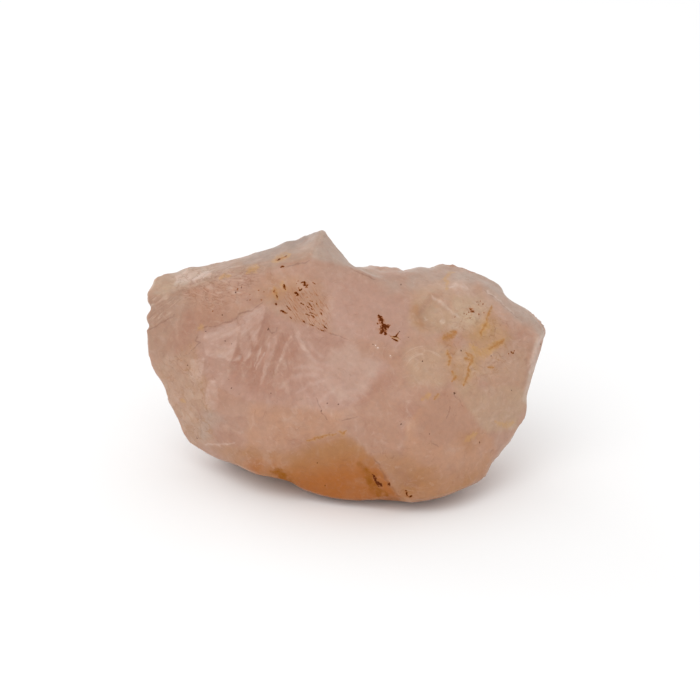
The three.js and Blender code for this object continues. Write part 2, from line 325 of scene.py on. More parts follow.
GOLDEN_SMEARS = {
    "vein glow": (9, [(487, 322), (483, 331)]),
    "honey left": (9, [(500, 341), (482, 356), (470, 344)]),
    "shoulder vein": (4, [(446, 290), (448, 282), (444, 279), (450, 273), (455, 272)]),
    "lap smear": (6, [(422, 400), (431, 394)]),
    "hip mark": (7, [(496, 422), (505, 425), (514, 423)]),
    "hip smear": (6, [(466, 441), (477, 432)]),
    "gill fleck": (4, [(182, 399), (184, 403)]),
    "roof vein": (4.5, [(219, 279), (224, 276), (231, 275)]),
    "roof smear": (8, [(246, 273), (258, 266)]),
    "roof smear right": (7, [(272, 262), (290, 255)]),
    "ledge end": (6, [(198, 330), (203, 325)]),
    "patch glow": (7, [(282, 282), (286, 291)]),
    "satellite glow": (6, [(392, 337), (399, 340)]),
}
print("veins and smears:", len(HONEY_VEINS) + len(GOLDEN_SMEARS))

# %% [markdown]
# ## Lines, specks and glints
# Healed cracks show as thin dark lines, and the shade along small steps and edges is painted in the same dark
# lines.
# Painted highlights on the crests and on the curved sweeps of the fan show as pale strokes, with a few pale
# streaks among them.
# Dust has settled in pores as dark specks, and three tiny glints are painted highlights, near-white spots.

# %% Lines, specks and glints
SPECK_WIDTH = 1.7
FAINT_WIDTH = 1.25
GLINT_WIDTH = 2.2
# Dark lines: partly healed cracks, partly painted shade under the ledge, the brow, the undercut edge and
# other small steps.
CRACK_AND_SHADE_LINES = {
    "ledge": (2.2, [(199, 329), (208, 326), (218, 326), (222, 324), (231, 321), (237, 318), (239, 314),
        (244, 312), (252, 311), (255, 308), (263, 302)]),
    "patch foot": (1.8, [(303, 321), (315, 327), (327, 332), (338, 336), (350, 340)]),
    "peak ridge": (1.8, [(350, 268), (360, 273), (376, 280)]),
    "brow": (1.8, [(283, 267), (295, 265), (310, 261)]),
    "rim": (1.8, [(484, 290), (497, 300), (510, 312), (522, 321)]),
    "cheek": (2.2, [(147, 330), (157, 326), (168, 319), (175, 314)]),
    "cheek cracks": (2, [(199, 334), (196, 341), (200, 342), (194, 349), (188, 355)]),
    "fibre": (2.2, [(450, 405), (449, 412), (445, 420)]),
    "breast edge": (1.8, [(453, 394), (459, 400), (464, 408)]),
    "wavy crack": (1.6, [(316, 397), (320, 406), (322, 413), (328, 420)]),
    "lapel crack": (1.6, [(341, 421), (352, 418), (362, 417)]),
    "patch ring": (1.6, [(269, 329), (272, 333), (276, 331), (277, 327)]),
    "undercut edge": (2.6, [(372, 458), (379, 465), (386, 479), (394, 490), (400, 498)]),
    "hip crease": (1.8, [(432, 443), (439, 447)]),
}
# Pale lines: mostly painted highlights on crests, rims and the pit, with a few pale streaks of the stone.
PALE_AND_HIGHLIGHT_LINES = {
    "pit crest": (4, [(431, 295), (440, 302), (449, 310)]),
    "pit crest low": (3, [(446, 306), (453, 313), (460, 318)]),
    "pit glint": (4.5, [(426, 316), (429, 317)]),
    "pit glint right": (5, [(441, 320), (445, 321)]),
    "pebble light": (6, [(450, 287), (458, 286), (467, 290)]),
    "rim light": (3, [(487, 291), (495, 298), (508, 309), (516, 317)]),
    "cuff light": (6, [(541, 336), (537, 345), (533, 360), (530, 374)]),
    "fan stroke": (2.4, [(262, 347), (258, 356), (254, 367)]),
    "fan stroke right": (2.4, [(265, 352), (260, 361), (256, 370)]),
    "fan fleck": (3.4, [(233, 361), (241, 356)]),
    "foot line": (2.4, [(205, 444), (220, 445), (235, 443)]),
    "spark": (3, [(376, 347), (378, 349)]),
    "spark right": (3, [(390, 356), (391, 358)]),
}
# Fan sweeps: painted highlights along the curved sweeps of the fan.
FAN_SWEEP_HIGHLIGHTS = {
    "sweep left": (5, [(280, 388), (288, 380), (300, 375), (318, 375)]),
    "sweep upper": (4, [(294, 368), (306, 366), (324, 371)]),
    "sweep high": (4.5, [(301, 340), (307, 353), (315, 361), (328, 366)]),
    "sweep inner": (4, [(308, 342), (315, 352), (324, 358)]),
    "sweep low": (4, [(296, 394), (308, 385), (324, 381)]),
    "sweep foot": (4, [(318, 404), (328, 394), (338, 388)]),
}
DARK_SPECKS = [
    (338, 404), (372, 344), (399, 332), (408, 337), (460, 352), (490, 356), (541, 344), (422, 361),
    (454, 394), (479, 442), (241, 288), (236, 292), (222, 315), (206, 331), (268, 329), (278, 245),
    (400, 285),
]
FAINT_SPECKS = [
    (247, 300), (224, 341), (231, 343), (215, 379), (229, 379), (231, 388), (271, 393), (327, 403),
    (321, 411), (401, 424), (197, 438), (317, 463), (325, 486), (428, 434), (187, 366), (512, 390),
]
# Glints: painted highlights, near-white spots where tiny faces would catch the light.
GLINTS = [(375, 345), (377, 347), (390, 356)]
LINE_GROUPS = (HONEY_VEINS, GOLDEN_SMEARS, CRACK_AND_SHADE_LINES, PALE_AND_HIGHLIGHT_LINES, FAN_SWEEP_HIGHLIGHTS)
DRAWN_LINES = RUST_STROKES + [stroke for group in LINE_GROUPS for stroke in group.values()]
DRAWN_SPOTS = RUST_DOTS + DARK_SPECKS + FAINT_SPECKS + GLINTS
print("marks in all:", len(DRAWN_LINES) + len(DRAWN_SPOTS))

# %% [markdown]
# ## Finer skin under the marks
# Rust, veins and the dark lines of cracks and painted shade are thinner than the skin's faces. Each edge near
# a mark is cut in three, so the mark has enough points to show, while the rest of the stone stays light.

# %% Split the faces under the marks
SPLIT_REACH = 3.0
SPLIT_CUTS = 2

near_mark = np.full(len(front.pixels), FAR)
for _, line in DRAWN_LINES:
    near_mark = np.minimum(near_mark, nearest_on_line(front.pixels, line)[0])
for spot in DRAWN_SPOTS:
    near_mark = np.minimum(near_mark, np.hypot(*(front.pixels - np.array(spot)).T))
splitting = (near_mark < SPLIT_REACH) & (front.facing > 0)

work = bmesh.new()
work.from_mesh(stone.data)
marked_edges = [e for e in work.edges if splitting[e.verts[0].index] and splitting[e.verts[1].index]]
bmesh.ops.subdivide_edges(work, edges=marked_edges, cuts=SPLIT_CUTS, use_grid_fill=True)
bmesh.ops.triangulate(work, faces=[f for f in work.faces if len(f.verts) > 4])
work.to_mesh(stone.data)
work.free()
stone.data.calc_loop_triangles()
print("skin triangles:", len(stone.data.loop_triangles))

# %% [markdown]
# ## Worn edges
# Handling rounds the corners of a chunk first, while the faces stay as they broke. Each point is compared
# with the average of its surroundings: where it stands proud it is an edge, and it is drawn in a little.

# %% Wear the edges
EDGE_ROUNDS = 8
EDGE_RANGE = (0.02 * MM, 0.14 * MM)
WEAR_PASSES = 3
WEAR_SHARE = 0.6


def neighbour_average(mesh, values, rounds):
    """Values at the points, averaged half and half with their neighbours a number of times."""
    ends = np.zeros(len(mesh.edges) * 2, int)
    mesh.edges.foreach_get("vertices", ends)
    first, second = ends.reshape(-1, 2).T
    count = np.bincount(ends, minlength=len(values))[:, None]
    for _ in range(rounds):
        total = np.zeros_like(values)
        for axis in range(values.shape[1]):
            total[:, axis] += np.bincount(first, values[second, axis], len(values))
            total[:, axis] += np.bincount(second, values[first, axis], len(values))
        values = 0.5 * values + 0.5 * total / count
    return values


def proud_of_surroundings(mesh):
    """How far each point stands out of its surroundings along its normal, in metres."""
    places, normals = skin_points(mesh)
    return ((places - neighbour_average(mesh, places, EDGE_ROUNDS)) * normals).sum(1)


def move_points(mesh, places):
    """Puts the points of a mesh at new places."""
    mesh.vertices.foreach_set("co", places.ravel())
    mesh.update()


edge = smooth_step(proud_of_surroundings(stone.data), *EDGE_RANGE)
for _ in range(WEAR_PASSES):
    places, normals = skin_points(stone.data)
    drawn_in = WEAR_SHARE * edge * np.maximum(proud_of_surroundings(stone.data), 0)
    move_points(stone.data, places - drawn_in[:, None] * normals)
front = Front(stone.data)
print("edge share of the skin:", round(float(edge.mean()), 3))

# %% [markdown]
# ## The mineral's colours
# The pink of rose quartz is pale and cloudy, and this piece runs from cool pink through cream to honey, with
# iron stain where it was undercut. A noise texture alone could give a cloudy pink, but not these places, so
# a few named colours are laid down in soft zones, like glazes, and kept as a colour attribute on the skin.
# The colours are those seen on the screen: gloss and light are taken off them first.

# %% Colours
MINERAL = {
    "rose": (184, 144, 123),
    "peach": (193, 150, 124),
    "blush": (176, 132, 113),
    "milk": (197, 167, 151),
    "tan": (174, 144, 125),
    "lilac": (188, 151, 135),
    "cream": (190, 158, 133),
    "honey": (188, 150, 104),
    "glass": (183, 160, 146),
    "crust": (206, 188, 172),
    "amber": (177, 128, 88),
    "iron": (178, 113, 66),
    "rust brown": (156, 100, 58),
    "tawny": (184, 139, 107),
    "ivory": (198, 172, 148),
    "smoke": (164, 145, 134),
}
GLOSS = 0.045
LIGHT_GAIN = 0.92
DARKEST = 0.004


def linear(colour):
    """A screen colour of 0 to 255 as the linear values that Blender shades with, by the sRGB rule."""
    share = np.array(colour, float) / 255
    return np.where(share <= 0.04045, share / 12.92, ((share + 0.055) / 1.055) ** 2.4)


def under_gloss(name):
    """A mineral's own colour, which the gloss and the light then brighten to the colour seen."""
    return np.maximum(linear(MINERAL[name]) - GLOSS, DARKEST) * LIGHT_GAIN


print("colours:", len(MINERAL))

# %% [markdown]
# ## Zones of the front
# Each zone is a face or a cloud that the eye can tell apart. A row gives its name, its colour, its strength,
# the pixels over which its edge fades, and its outline. Later rows lie over earlier ones.

# %% Zones of the front
ZONES = [
    ("cheek above the crack", "tan", 0.6, 8, [(140, 270), (190, 288), (194, 309), (160, 322), (140, 332)]),
    ("cheek below the crack", "tan", 0.6, 6, [(140, 333), (178, 313), (194, 309), (199, 330), (185, 350),
        (166, 365), (145, 345)]),
    ("cheek band", "blush", 0.6, 7, [(188, 306), (198, 322), (190, 344), (174, 358), (168, 346),
        (178, 326)]),
    ("strip above the ledge", "rose", 0.9, 5, [(185, 290), (250, 275), (280, 270), (270, 300),
        (246, 311), (218, 325), (199, 329), (194, 310)]),
    ("roof", "tan", 0.9, 6, [(140, 262), (215, 245), (324, 212), (334, 245), (312, 260), (250, 272),
        (185, 288), (155, 292)]),
    ("roof edge", "glass", 0.8, 4, [(160, 262), (215, 246), (262, 233), (324, 212), (332, 240),
        (308, 250), (262, 254), (215, 264), (168, 278)]),
    ("roof ridge", "smoke", 0.9, 5, [(244, 262), (262, 246), (300, 228), (324, 218), (322, 236),
        (300, 246), (272, 258)]),
    ("roof corner", "ivory", 0.4, 4, [(146, 284), (154, 268), (172, 270), (179, 284), (166, 296),
        (150, 296)]),
    ("roof crust", "crust", 0.4, 3, [(174, 284), (180, 274), (198, 269), (214, 267), (214, 273),
        (200, 281), (184, 286)]),
    ("peak face", "glass", 1.0, 4, [(324, 226), (356, 262), (381, 278), (345, 267), (313, 259)]),
    ("fracture", "lilac", 1.0, 2, [(199, 331), (218, 326), (246, 312), (264, 303), (286, 318),
        (327, 333), (370, 352), (392, 366), (365, 398), (343, 412), (290, 408), (235, 398), (203, 375),
        (196, 350)]),
    ("fan shade", "blush", 0.6, 8, [(236, 330), (262, 318), (285, 330), (300, 350), (290, 395),
        (262, 400), (228, 380)]),
    ("open face", "lilac", 0.9, 8, [(300, 350), (316, 339), (345, 337), (385, 360), (365, 395),
        (335, 405), (300, 395)]),
    ("open face light", "milk", 0.5, 6, [(330, 350), (352, 343), (384, 362), (366, 392), (340, 402),
        (324, 382)]),
    ("centre", "lilac", 0.9, 8, [(320, 275), (345, 270), (380, 285), (410, 300), (408, 335), (400, 350),
        (352, 340), (330, 325)]),
    ("below the blot", "rose", 0.8, 5, [(352, 340), (375, 340), (396, 350), (392, 362), (362, 356)]),
    ("rust patch", "amber", 0.36, 12, [(254, 286), (290, 280), (318, 280), (328, 300), (325, 328),
        (300, 320), (266, 303)]),
    ("patch top", "amber", 0.4, 6, [(268, 276), (298, 276), (302, 290), (278, 300), (268, 292)]),
    ("gill", "cream", 0.5, 6, [(155, 366), (196, 345), (205, 380), (215, 440), (190, 446), (170, 412)]),
    ("pale low left", "glass", 0.6, 5, [(198, 412), (212, 410), (224, 420), (214, 431), (203, 440)]),
    ("blush band", "blush", 0.5, 3, [(211, 429), (231, 431), (242, 437), (241, 445), (217, 446)]),
    ("shoulder", "cream", 0.6, 9, [(412, 285), (445, 280), (480, 285), (500, 300), (490, 312),
        (455, 312), (430, 296), (412, 300)]),
    ("shoulder top", "glass", 0.8, 6, [(404, 250), (445, 242), (488, 262), (474, 284), (440, 280),
        (410, 286)]),
    ("pebble", "milk", 0.6, 5, [(447, 284), (462, 282), (482, 295), (480, 306), (460, 300)]),
    ("below the pebble", "cream", 0.7, 6, [(452, 296), (482, 296), (490, 310), (470, 322), (455, 316)]),
    ("centre top", "glass", 0.5, 6, [(368, 270), (410, 268), (416, 290), (385, 294)]),
    ("net", "ivory", 0.85, 7, [(446, 312), (456, 300), (474, 298), (488, 306), (484, 322), (468, 330),
        (450, 334)]),
    ("pit", "cream", 0.9, 5, [(413, 300), (430, 294), (455, 314), (445, 330), (425, 334), (412, 325)]),
    ("pit wall", "amber", 0.5, 4, [(411, 303), (419, 303), (422, 316), (427, 329), (419, 331), (412, 318)]),
    ("honey", "honey", 0.55, 9, [(464, 336), (478, 322), (492, 314), (500, 328), (512, 338), (498, 350),
        (478, 354)]),
    ("honey low", "honey", 0.6, 7, [(450, 352), (472, 348), (484, 362), (474, 384), (454, 384)]),
    ("tan strip", "tawny", 0.6, 5, [(436, 340), (450, 337), (457, 350), (454, 372), (446, 384),
        (442, 366)]),
    ("brown smear", "rust brown", 0.5, 3, [(441, 338), (446, 334), (456, 330), (458, 334), (450, 338),
        (445, 342)]),
    ("rim inside", "milk", 0.5, 5, [(484, 292), (497, 300), (522, 322), (515, 332), (500, 320),
        (486, 306)]),
    ("plumes", "cream", 0.8, 7, [(405, 352), (445, 345), (452, 370), (440, 390), (410, 385)]),
    ("lap", "rose", 0.8, 9, [(385, 375), (410, 385), (440, 392), (410, 420), (400, 450), (372, 455),
        (345, 420)]),
    ("open face shade", "blush", 0.5, 4, [(380, 376), (394, 371), (399, 378), (382, 390), (364, 404),
        (352, 407), (366, 393)]),
    ("lap shade", "blush", 0.5, 7, [(396, 402), (418, 404), (424, 436), (404, 446)]),
    ("lapel", "peach", 0.65, 8, [(250, 406), (300, 408), (346, 413), (335, 434), (300, 444), (245, 452)]),
    ("cloud", "cream", 0.8, 3, [(452, 389), (463, 385), (520, 385), (530, 400), (515, 428), (488, 434),
        (478, 424), (465, 407)]),
    ("rim", "glass", 1.0, 3, [(470, 268), (500, 278), (550, 325), (545, 340), (515, 318), (484, 290)]),
    ("cuff", "crust", 0.6, 3, [(550, 328), (541, 342), (533, 375), (528, 402), (523, 400), (528, 370),
        (536, 342)]),
    ("right face", "cream", 0.6, 9, [(492, 348), (528, 345), (528, 385), (470, 385), (480, 365)]),
    ("breast", "peach", 0.8, 4, [(449, 389), (465, 407), (478, 424), (500, 450), (480, 480), (440, 495),
        (410, 498), (402, 450), (407, 424), (419, 409)]),
    ("breast top", "rose", 0.8, 4, [(448, 389), (464, 408), (478, 424), (466, 438), (440, 446),
        (412, 436), (420, 412), (436, 396)]),
    ("hip", "amber", 0.35, 6, [(456, 436), (478, 428), (482, 440), (466, 452)]),
    ("breast smear", "amber", 0.5, 5, [(405, 470), (424, 466), (436, 470), (428, 482), (412, 488),
        (403, 484)]),
    ("breast foot", "amber", 0.65, 14, [(385, 462), (410, 470), (450, 478), (490, 462), (470, 505),
        (400, 510)]),
    ("prow", "tawny", 0.7, 6, [(372, 455), (395, 452), (420, 462), (412, 474), (388, 474)]),
    ("apron foot", "amber", 0.6, 8, [(215, 446), (300, 452), (300, 480), (240, 470)]),
    ("heel rust", "iron", 0.8, 8, [(243, 466), (262, 460), (286, 464), (292, 484), (262, 482)]),
    ("prow foot", "amber", 0.7, 5, [(397, 482), (412, 484), (416, 500), (402, 500)]),
]
print("zones of the front:", len(ZONES))

# %% [markdown]
# ## The stained foot and the unseen sides
# Iron has stained the undercut foot orange, up to the undercut's edge and no further, and has soaked into two
# spots. Sides that the photograph doesn't show get the same colours by slow noise, so the stone is one
# mineral all round. A row of that mix gives a colour, the size of its lumps in millimetres, the noise value
# at which it starts, and its strength.

# %% Paint the zones
IRON_ZONES = [
    ("amber", 0.9, 10, [(262, 474), (292, 460), (306, 446), (345, 433), (368, 448), (400, 476),
        (415, 520), (300, 524)]),
    ("iron", 1.0, 17, [(276, 476), (305, 470), (345, 462), (400, 462), (415, 520), (290, 526)]),
]
SOAKED_SPOTS = {
    "corner": (0.9, 7, [(272, 471), (280, 468), (288, 474), (297, 488), (284, 488)]),
    "prow": (0.7, 6, [(358, 463), (366, 466), (378, 478), (388, 490), (397, 500), (378, 499), (366, 486)]),
}
UNDERCUT = [
    (200, 400), (340, 400), (345, 428), (366, 449), (374, 458), (382, 471), (392, 486), (403, 501),
    (403, 540), (200, 540),
]
UNDERCUT_FADE = 4
UNSEEN_MIX = [
    ("lilac", 12, -0.4, 0.8),
    ("milk", 10, -0.02, 0.8),
    ("glass", 13, 0.1, 0.7),
    ("cream", 12, 0.12, 0.7),
    ("blush", 8, 0.2, 0.5),
    ("amber", 17, 0.32, 0.6),
]
UNSEEN_EDGE = 0.35
UNSEEN_SEED = 5
FRONT_SHARE = 0.35
PATCH_SIZE = 2.2
PATCH_DEPTH = 0.5


def slow_noise(places, size_mm, seed):
    """Smooth noise of about -1 to 1 with lumps of the given size."""
    shift = Vector((seed, 2 * seed, 3 * seed))
    return np.array([noise.noise(Vector(p) / (size_mm * MM) + shift) for p in places])


def paint(name, share):
    """Lays a mineral colour over the tint by a share of 0 to 1 at each point."""
    tint[:] += share[:, None] * (under_gloss(name) - tint)


tint = np.tile(under_gloss("rose"), (len(front.places), 1))
unseen = 1 - front.painted
for seed, (name, size_mm, start, strength) in enumerate(UNSEEN_MIX, UNSEEN_SEED):
    lumps = smooth_step(slow_noise(front.places, size_mm, seed), start, start + UNSEEN_EDGE)
    paint(name, strength * lumps * np.maximum(unseen, FRONT_SHARE))
patchy = 1 + PATCH_DEPTH * slow_noise(front.places, PATCH_SIZE, UNSEEN_SEED + len(UNSEEN_MIX))
for _, name, strength, fade, outline in ZONES:
    paint(name, np.clip(strength * front.inside(outline, fade) * patchy, 0, 1))
undercut = front.inside(UNDERCUT, UNDERCUT_FADE)
for name, strength, fade, outline in IRON_ZONES:
    paint(name, strength * front.inside(outline, fade) * undercut)
print("zones painted:", len(ZONES) + len(IRON_ZONES))

# %% [markdown]
# ## Faces with a texture of their own
# The broken face below the ledge has a fan of ridges that spread from one point, where the blow fell, with
# thin pale and deep planes among them. Other faces are wrinkled, crackled, feathered or nearly plain, and
# small dents and bumps shape the pit, the crest and the outline. They are drawn here once, so that the
# relief and the finish agree. A dent's row gives x, y and radius in pixels, and its rise in millimetres.

# %% Faces and dents
FAN_FACE = [
    (196, 336), (206, 330), (222, 328), (236, 320), (250, 314), (266, 307), (286, 320), (327, 335),
    (352, 343), (380, 358), (370, 390), (343, 412), (290, 410), (235, 402), (205, 380),
]
WRINKLED = [(168, 280), (190, 268), (215, 266), (262, 262), (262, 276), (240, 300), (208, 312), (186, 300)]
CRACKLED = [
    [(158, 360), (196, 340), (206, 380), (216, 440), (192, 446), (170, 412)],
    [(440, 330), (458, 318), (480, 300), (515, 325), (505, 372), (470, 390), (452, 382), (446, 358)],
]
RUST_PATCH = [
    (288, 292), (300, 293), (316, 286), (328, 306), (331, 333), (312, 327), (296, 318), (286, 306),
]
CALM_FACES = [
    [(330, 350), (352, 343), (384, 362), (366, 392), (340, 402), (324, 382)],
    [(448, 391), (464, 410), (478, 426), (466, 440), (440, 448), (410, 436), (420, 412), (436, 397)],
    [(350, 285), (392, 284), (404, 310), (396, 326), (360, 325)],
]
PLUMES = [
    [(403, 360), (410, 351), (424, 347), (440, 350), (438, 358), (424, 358), (412, 366)],
    [(146, 300), (160, 294), (180, 298), (174, 311), (158, 324), (146, 324)],
]
PALE_PLANES = {
    "fan wedge left": [(205, 330), (218, 327), (236, 320), (239, 328), (236, 347), (231, 362),
        (224, 358), (218, 359), (206, 356), (203, 342)],
    "fan wedge": [(241, 316), (252, 312), (263, 305), (266, 309), (262, 323), (258, 336), (254, 351),
        (251, 338), (247, 325)],
    "fan wedge between": [(241, 320), (247, 327), (251, 342), (252, 356), (244, 362), (240, 350),
        (240, 334)],
    "fan blade": [(281, 332), (278, 341), (274, 354), (269, 365), (266, 375), (260, 391), (261, 378),
        (264, 362), (267, 347), (272, 337)],
    "fan blade right": [(288, 338), (293, 334), (291, 342), (286, 352), (282, 362), (276, 371),
        (279, 360), (283, 350)],
    "fan wedge far": [(294, 334), (299, 331), (303, 340), (309, 353), (303, 350), (298, 343)],
    "fan block": [(191, 359), (205, 358), (204, 368), (201, 381), (196, 382), (190, 373)],
    "fan band": [(208, 381), (216, 380), (219, 395), (218, 409), (206, 409), (205, 395)],
    "roof crust": [(174, 276), (190, 271), (209, 270), (213, 275), (196, 281), (177, 284)],
    "rim crust": [(357, 266), (372, 264), (379, 268), (368, 271)],
}
DEEP_PLANES = {
    "fan gap": [(266, 309), (270, 316), (271, 330), (267, 339), (261, 347), (255, 366), (254, 352),
        (258, 336), (262, 323)],
    "fan gap right": [(283, 333), (287, 338), (283, 350), (278, 362), (270, 378), (267, 375), (274, 356),
        (279, 343)],
    "fan streak": [(241, 356), (240, 364), (236, 374), (229, 375), (231, 368), (237, 362)],
    "low patch": [(222, 417), (246, 416), (249, 427), (240, 433), (229, 427)],
}
DENTS = {
    "left notch": (148, 308, 8, -0.6),
    "left notch low": (146, 326, 5, -0.4),
    "left lobe": (146, 318, 5, 0.2),
    "peak corner": (323, 231, 7, 0.35),
    "peak top": (314, 232, 9, 0.3),
    "ridge": (304, 235, 12, 0.3),
    "ridge left": (286, 241, 14, 0.3),
    "roof left": (188, 267, 13, 0.35),
    "roof corner": (153, 278, 8, 0.35),
    "rim bump": (370, 265, 7, 0.3),
    "rim bump middle": (396, 266, 6, 0.25),
    "rim notch": (381, 269, 4, -0.25),
    "rim notch right": (403, 269, 4, -0.25),
    "rim swell": (420, 268, 14, 0.4),
    "rim bump right": (439, 265, 10, 0.35),
    "rim knob": (452, 264, 7, -0.2),
    "rim step": (471, 270, 7, -0.35),
    "pit": (429, 315, 17, -0.75),
    "pit low": (440, 325, 12, -0.35),
    "crest": (443, 302, 7, 0.25),
    "crest low": (454, 311, 7, 0.2),
    "pebble": (462, 289, 12, 0.25),
}
SOFT_FACES = {
    "rust_patch": (7, [RUST_PATCH]),
    "wrinkled": (8, [WRINKLED]),
    "crackled": (8, CRACKLED),
    "calm": (6, CALM_FACES),
    "plume": (7, PLUMES),
}
print("faces:", sum(len(outlines) for _, outlines in SOFT_FACES.values()), "dents:", len(DENTS))

# %% [markdown]
# ## Masks kept on the skin
# A painter would mask each face before working on it. Here each mask is a named attribute, one value at every
# point, which both the Geometry Nodes and the shader can read. Streaks also need directions: each point keeps
# its angle and reach in the fan, its turn and reach around the rosette, and its place along the rust dashes.

# %% Keep the masks
FAN_START = np.array((275.0, 296.0))
FAN_CURL = 0.02
FAN_EDGE = 5
FAN_FADE = (2.5, 7.0)
STAIN_FADE = 8
STREAK_SLANT = math.radians(57)
PLUME_SLANT = math.radians(-38)
ROSETTE = np.array((424.0, 374.0))
ROSETTE_REACH = 60
ATTRIBUTE_FIELDS = {"FLOAT": "value", "FLOAT_VECTOR": "vector", "FLOAT_COLOR": "color"}


def keep(name, values, kind="FLOAT"):
    """Stores one value a point as a named attribute of the skin."""
    layer = stone.data.attributes.new(name, kind, "POINT")
    flat_values = np.ascontiguousarray(values, dtype=np.float32).ravel()
    layer.data.foreach_set(ATTRIBUTE_FIELDS[kind], flat_values)


def strongest(strokes):
    """The strongest of a group of drawn marks at each point."""
    return np.max([front.along(line, width) for width, line in strokes], axis=0)


def dotted(spots, width):
    """Spots as marks of one width, each a dash of half a pixel."""
    return [(width, [(x, y), (x + 0.5, y)]) for x, y in spots]


def drawn_dents(dents):
    """Height of the dents and bumps at each point, in millimetres."""
    height = np.zeros(len(front.pixels))
    for x, y, radius, rise in dents.values():
        gap = np.hypot(*(front.pixels - np.array((x, y), float)).T)
        height += rise * (1 - smooth_step(gap, 0, radius))
    return height


def slanted(slant):
    """Places along and across a slant on the front, in millimetres, for streaks that follow it."""
    along = from_start @ np.array((math.cos(slant), math.sin(slant)))
    across = from_start @ np.array((-math.sin(slant), math.cos(slant)))
    return np.column_stack([along, across, flat])


from_start = (front.pixels - FAN_START) / PIXELS_PER_MM
reach = np.hypot(*from_start.T)
flat = np.zeros(len(reach))
angle = np.arctan2(from_start[:, 0], from_start[:, 1]) * (1 - FAN_CURL * reach)
from_rosette = (front.pixels - ROSETTE) / PIXELS_PER_MM
rosette_reach = np.hypot(*from_rosette.T)
rings = np.column_stack([np.arctan2(*from_rosette.T), rosette_reach, flat])
near_rosette = rosette_reach[:, None] < ROSETTE_REACH / PIXELS_PER_MM

keep("tint", np.column_stack([tint, np.ones(len(tint))]), "FLOAT_COLOR")
keep("skin_place", front.places / MM, "FLOAT_VECTOR")
keep("fan_place", np.column_stack([angle, reach, flat]), "FLOAT_VECTOR")
keep("streak_place", slanted(STREAK_SLANT), "FLOAT_VECTOR")
keep("plume_place", np.where(near_rosette, rings, slanted(PLUME_SLANT)), "FLOAT_VECTOR")
keep("fan", front.inside(FAN_FACE, FAN_EDGE) * smooth_step(reach, *FAN_FADE))
stained_foot = IRON_ZONES[0][-1]
keep("stain", front.inside(stained_foot, STAIN_FADE) * undercut)
soaks = [strength * front.inside(outline, fade) for strength, fade, outline in SOAKED_SPOTS.values()]
keep("soaked", undercut * np.max(soaks, axis=0))
keep("unseen", unseen)
keep("away", front.away)
keep("edge", edge)
keep("dents", drawn_dents(DENTS))
for name, (fade, outlines) in SOFT_FACES.items():
    keep(name, np.max([front.inside(outline, fade) for outline in outlines], axis=0))
for name, planes in {"pale_plane": PALE_PLANES, "deep_plane": DEEP_PLANES}.items():
    keep(name, np.max([front.depth_in(outline) for outline in planes.values()], axis=0))
drawn_marks = {
    "rust": RUST_STROKES,
    "vein": HONEY_VEINS.values(),
    "golden": GOLDEN_SMEARS.values(),
    "crack_and_shade_line": CRACK_AND_SHADE_LINES.values(),
    "pale": PALE_AND_HIGHLIGHT_LINES.values(),
    "sweep_highlight": FAN_SWEEP_HIGHLIGHTS.values(),
    "rust_dot": dotted(RUST_DOTS, DOT_WIDTH),
    "speck": dotted(DARK_SPECKS, SPECK_WIDTH) + dotted(FAINT_SPECKS, FAINT_WIDTH),
    "glint": dotted(GLINTS, GLINT_WIDTH),
}
for name, strokes in drawn_marks.items():
    keep(name, strongest(strokes))
print("attributes kept:", len(stone.data.attributes))

# %% [markdown]
# ## Wiring nodes as sums
# The relief is a Geometry Nodes tree and the finish is a shader tree, but both use the same noise and maths
# nodes. This small helper adds a node, sets or links its inputs and returns the output, so that each rule
# below reads like a sum instead of a page of links.

# %% Node helper


class Nodes:
    """Adds wired nodes to one tree."""

    def __init__(self, tree):
        self.tree = tree

    def add(self, kind, inputs=(), output=0, **settings):
        """A node with its settings and its inputs, by name or number, and the output asked for."""
        node = self.tree.nodes.new(kind)
        for name, value in settings.items():
            setattr(node, name, value)
        for name, value in dict(inputs).items():
            self.feed(node.inputs[name], value)
        return node.outputs[output]

    def feed(self, socket, value):
        """Links an output to a socket, or sets a plain value on it."""
        if isinstance(value, bpy.types.NodeSocket):
            self.tree.links.new(value, socket)
        else:
            socket.default_value = value

    def math(self, operation, *values):
        return self.add("ShaderNodeMath", enumerate(values), operation=operation)

    def times(self, *values):
        product = values[0]
        for value in values[1:]:
            product = self.math("MULTIPLY", product, value)
        return product

    def vector(self, operation, *values):
        return self.add("ShaderNodeVectorMath", enumerate(values), operation=operation)

    def stretch(self, place, factors):
        return self.vector("MULTIPLY", place, factors)

    def sized(self, vector, size):
        """A vector or colour made longer or shorter by one number."""
        scaled = self.vector("SCALE", vector)
        self.feed(scaled.node.inputs["Scale"], size)
        return scaled

    def noise(self, place, size, detail=2.0, roughness=0.5, distortion=0.0):
        """Noise of 0 to 1 with lumps of about the given size."""
        inputs = {"Vector": place, "Scale": 1 / size, "Detail": detail, "Roughness": roughness,
                  "Distortion": distortion}
        return self.add("ShaderNodeTexNoise", inputs)

    def swing(self, place, size, **settings):
        """The same noise less a half, so that it swings both ways."""
        return self.math("SUBTRACT", self.noise(place, size, **settings), 0.5)

    def cells(self, place, size, feature="F1", output="Distance"):
        """Distance to a cell's middle or edge, in cell sizes, or the cell's own random colour."""
        return self.add("ShaderNodeTexVoronoi", {"Vector": place, "Scale": 1 / size}, output, feature=feature)

    def ramp(self, value, low, high, to_low=0.0, to_high=1.0):
        """Maps low..high to to_low..to_high on an S-curve, held flat outside."""
        inputs = {0: value, 1: low, 2: high, 3: to_low, 4: to_high}
        return self.add("ShaderNodeMapRange", inputs, interpolation_type="SMOOTHSTEP")


print("node helper:", Nodes.__doc__)

